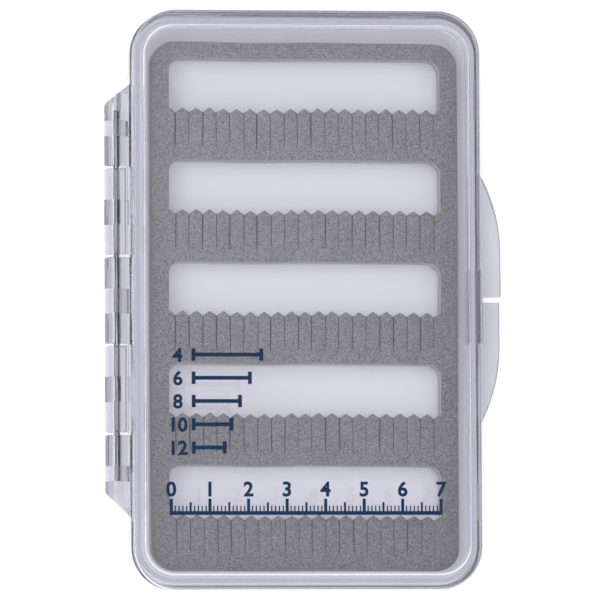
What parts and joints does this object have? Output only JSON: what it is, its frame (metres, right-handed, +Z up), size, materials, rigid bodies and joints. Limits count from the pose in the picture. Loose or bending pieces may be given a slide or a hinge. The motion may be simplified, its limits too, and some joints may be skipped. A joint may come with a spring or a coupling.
{
  "type": "fly box",
  "caption": "Slim clear flip-lid box with a pinned side hinge, thumb tabs, a snap catch, a sealed rim and a slit foam insert with windows that holds fishing flies.",
  "frame": {"origin": "centre of the footprint on the underside of the lower shell", "axes": "+X towards the thumb tabs, with the hinge on -X; +Y along the box, away from the user; +Z up, through the lid"},
  "size_m": [0.103, 0.15, 0.017],
  "materials": {
    "clear_shell": "clear polished polycarbonate",
    "pin_steel": "bright drawn stainless wire",
    "seal_silicone": "colourless silicone",
    "foam": "grey closed-cell foam",
    "adhesive_film": "thin double-sided film"
  },
  "bodies": {
    "base": {"base_shell": "clear_shell", "hinge_pin": "pin_steel", "rim_seal": "seal_silicone", "foam_insert": "foam", "foam_adhesive": "adhesive_film"},
    "lid": {"lid_shell": "clear_shell"}
  },
  "joints": [
    {"name": "lid_hinge", "type": "hinge", "parent": "base", "child": "lid", "pos_m": [-0.0483, 0, 0.00988], "axis": [0, -1, 0], "range_deg": [0, 180]}
  ]
}
